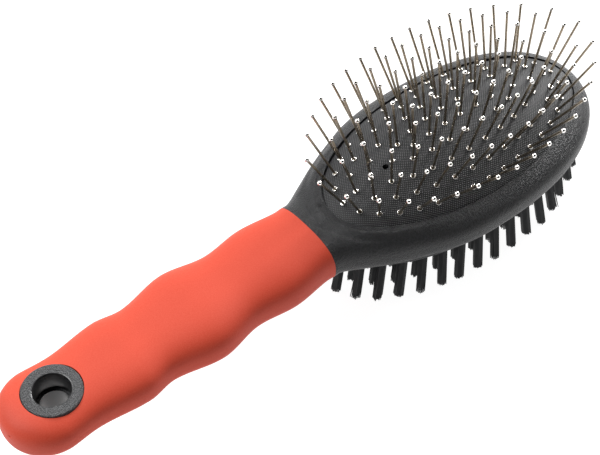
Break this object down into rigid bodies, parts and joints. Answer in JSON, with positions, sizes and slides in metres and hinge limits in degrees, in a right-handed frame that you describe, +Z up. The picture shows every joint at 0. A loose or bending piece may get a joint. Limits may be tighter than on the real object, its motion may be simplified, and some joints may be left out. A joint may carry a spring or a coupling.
{
  "type": "bristle brush",
  "caption": "Double-sided pet grooming brush with an oval head, ball-tipped wire pins on an air cushion, bristle tufts on the other side and a soft waved handle.",
  "frame": {"origin": "centre of the bottom of the bounding box, under the middle of the brush's length and level with the bristle tips", "axes": "+X from the handle's end to the head's tip, +Y across the brush, +Z up through the wire pins, with the bristles pointing down"},
  "size_m": [0.2314, 0.0698, 0.0625],
  "materials": {
    "hard_plastic": "black moulded plastic, satin with a fine grain",
    "grained_plastic": "black moulded plastic with a coarse spark-eroded grain",
    "soft_grip": "coral red soft-touch rubber, matt",
    "cushion_rubber": "black cushion rubber with a fine woven pattern, matt",
    "pin_steel": "bright nickel-plated steel wire with polished ball tips",
    "nylon_bristle": "black nylon filament, slightly glossy"
  },
  "bodies": {
    "brush_body": {"head_body": "hard_plastic", "grip_sleeve": "soft_grip", "eyelet_front": "grained_plastic", "eyelet_rear": "grained_plastic", "cushion_skin": "cushion_rubber", "bristle_plate": "hard_plastic", "tufts_outer_1": "nylon_bristle", "tufts_outer_2": "nylon_bristle", "tufts_outer_3": "nylon_bristle", "tufts_outer_4": "nylon_bristle", "tufts_outer_5": "nylon_bristle", "tufts_outer_6": "nylon_bristle", "tufts_second_1": "nylon_bristle", "tufts_second_2": "nylon_bristle", "tufts_second_3": "nylon_bristle", "tufts_second_4": "nylon_bristle", "tufts_second_5": "nylon_bristle", "tufts_third_1": "nylon_bristle", "tufts_third_2": "nylon_bristle", "tufts_third_3": "nylon_bristle", "tufts_third_4": "nylon_bristle", "tufts_inner_1": "nylon_bristle", "tufts_inner_2": "nylon_bristle", "tufts_inner_3": "nylon_bristle", "tufts_middle_row": "nylon_bristle"},
    "pins_middle": {"pins_middle_row": "pin_steel"},
    "pins_inner": {"pins_inner_1": "pin_steel", "pins_inner_2": "pin_steel"},
    "pins_third": {"pins_third_1": "pin_steel", "pins_third_2": "pin_steel", "pins_third_3": "pin_steel", "pins_third_4": "pin_steel"},
    "pins_second": {"pins_second_1": "pin_steel", "pins_second_2": "pin_steel", "pins_second_3": "pin_steel", "pins_second_4": "pin_steel"},
    "pins_outer": {"pins_outer_1": "pin_steel", "pins_outer_2": "pin_steel", "pins_outer_3": "pin_steel", "pins_outer_4": "pin_steel", "pins_outer_5": "pin_steel", "pins_outer_6": "pin_steel"}
  },
  "joints": [
    {"name": "cushion_press", "type": "slide", "parent": "brush_body", "child": "pins_middle", "axis": [0, 0, -1], "range_m": [0, 0.003], "stiffness_N_per_m": 2000, "deforming": ["cushion_skin"]},
    {"name": "inner_pins_press", "type": "slide", "parent": "brush_body", "child": "pins_inner", "axis": [0, 0, -1], "range_m": [0, 0.0026]},
    {"name": "third_pins_press", "type": "slide", "parent": "brush_body", "child": "pins_third", "axis": [0, 0, -1], "range_m": [0, 0.00209]},
    {"name": "second_pins_press", "type": "slide", "parent": "brush_body", "child": "pins_second", "axis": [0, 0, -1], "range_m": [0, 0.00146]},
    {"name": "outer_pins_press", "type": "slide", "parent": "brush_body", "child": "pins_outer", "axis": [0, 0, -1], "range_m": [0, 0.00077]}
  ],
  "couplings": [
    {"joint": "inner_pins_press", "follows": "cushion_press", "ratio": 0.85},
    {"joint": "third_pins_press", "follows": "cushion_press", "ratio": 0.68},
    {"joint": "second_pins_press", "follows": "cushion_press", "ratio": 0.47},
    {"joint": "outer_pins_press", "follows": "cushion_press", "ratio": 0.24}
  ]
}
